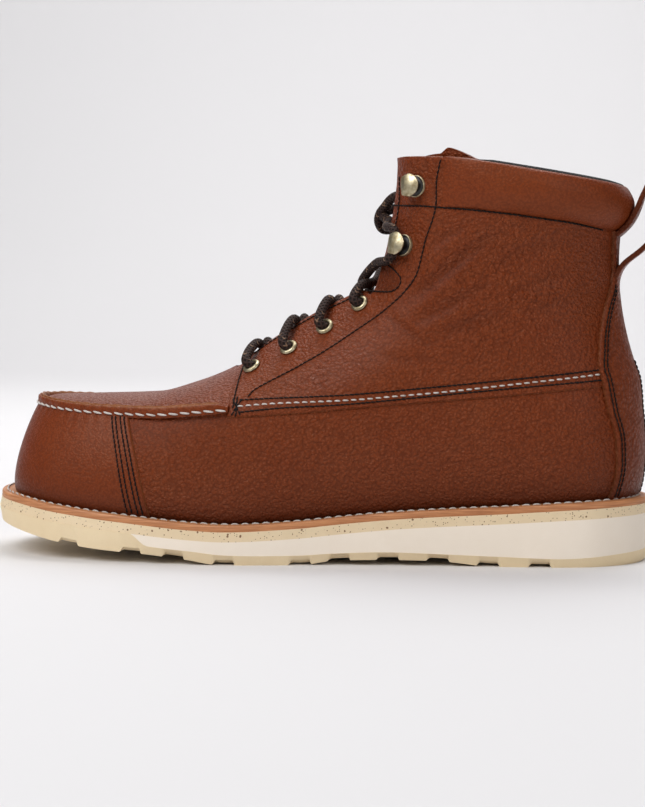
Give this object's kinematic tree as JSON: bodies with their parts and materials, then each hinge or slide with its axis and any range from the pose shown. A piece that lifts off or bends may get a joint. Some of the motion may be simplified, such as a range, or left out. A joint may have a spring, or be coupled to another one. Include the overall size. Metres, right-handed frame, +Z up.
{
  "type": "safety boot",
  "caption": "Left brown leather ankle-height safety boot with a moccasin toe, cream wedge sole, brass eyelets and hooks, brown lace, padded collar and a pull loop at the back.",
  "frame": {"origin": "middle of the boot's box on the floor it stands on", "axes": "-X to the toe, +X to the heel, -Y to the outer side of the left foot, +Z up"},
  "size_m": [0.3228, 0.1144, 0.1902],
  "materials": {
    "cream_rubber": "matt moulded tread rubber",
    "white_foam": "matt foam rubber",
    "speckled_layer": "matt, speckled with brown grains",
    "tan_welt": "cut edge, waxed",
    "insole_fabric": "matt",
    "brown_leather": "full grain, satin",
    "antique_brass": "antiqued",
    "brown_lace": "braided"
  },
  "bodies": {
    "root": {"outsole": "cream_rubber", "wedge": "white_foam", "midsole": "speckled_layer", "welt": "tan_welt", "insole": "insole_fabric", "upper": "brown_leather", "moc_seam": "brown_leather", "cuff": "brown_leather", "backstay": "brown_leather", "pull_loop": "brown_leather", "tongue": "brown_leather", "eyelet_outer_1": "antique_brass", "eyelet_outer_2": "antique_brass", "eyelet_outer_3": "antique_brass", "eyelet_outer_4": "antique_brass", "eyelet_inner_1": "antique_brass", "eyelet_inner_2": "antique_brass", "eyelet_inner_3": "antique_brass", "eyelet_inner_4": "antique_brass", "hook_outer_1": "antique_brass", "hook_outer_2": "antique_brass", "hook_inner_1": "antique_brass", "hook_inner_2": "antique_brass", "lace_bar": "brown_lace", "lace_1": "brown_lace", "lace_2": "brown_lace", "lace_3": "brown_lace", "lace_4": "brown_lace", "lace_knot": "brown_lace"}
  },
  "joints": []
}
